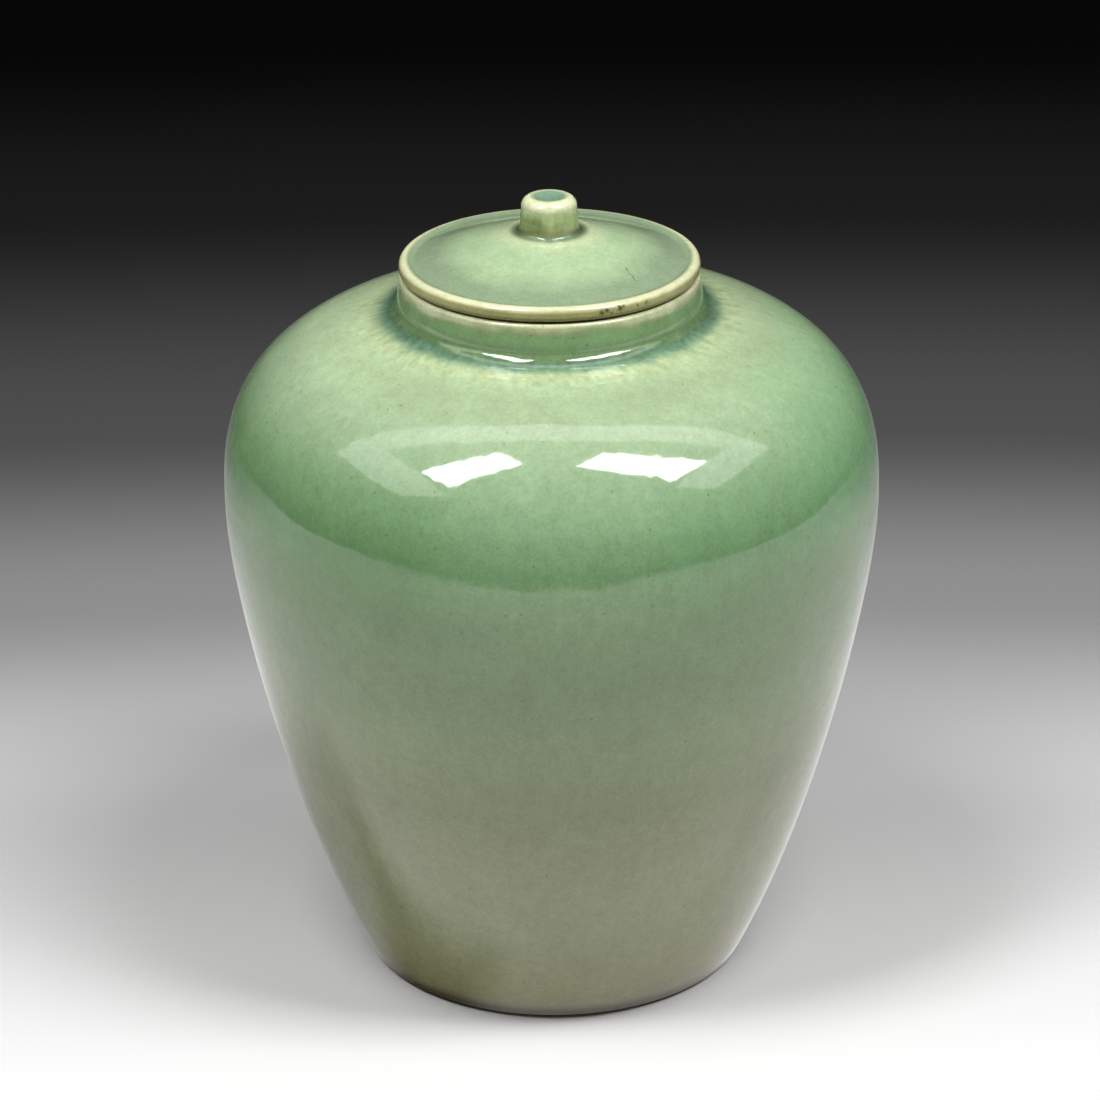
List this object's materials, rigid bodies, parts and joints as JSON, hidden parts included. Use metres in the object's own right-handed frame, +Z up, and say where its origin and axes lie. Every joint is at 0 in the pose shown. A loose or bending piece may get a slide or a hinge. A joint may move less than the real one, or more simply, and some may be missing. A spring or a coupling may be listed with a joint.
{
  "type": "lidded jar",
  "caption": "High-shouldered stoneware jar in celadon glaze, on a bare clay foot ring, with a short upright neck and a crowned knobbed lid that lifts off.",
  "frame": {"origin": "centre of the foot ring's standing face, on the jar's axis", "axes": "+Z up along the jar's turning axis; X and Y are any two level directions, because the jar is round"},
  "size_m": [0.2, 0.2, 0.2464],
  "materials": {
    "body_glaze": "glossy celadon glaze, mottled blue-green over yellow-green, deeper where it pools",
    "neck_glaze": "glossy celadon glaze, thin and cream along the lip",
    "lid_glaze": "glossy celadon glaze, cream on the rounded rim, brown bare clay along its lower edge",
    "knob_glaze": "glossy celadon glaze, cream on the knob's shoulder and blue-green in its dish",
    "bare_foot": "matte unglazed stoneware, worn smooth where it stands",
    "bare_flange": "matte unglazed stoneware"
  },
  "bodies": {
    "jar": {"jar_body": "body_glaze", "neck_collar": "neck_glaze", "foot_ring": "bare_foot"},
    "lid": {"lid_plate": "lid_glaze", "lid_flange": "bare_flange", "lid_knob": "knob_glaze"}
  },
  "joints": [
    {"name": "lid_lift", "type": "slide", "parent": "jar", "child": "lid", "axis": [0, 0, 1], "range_m": [0, 0.12]}
  ]
}
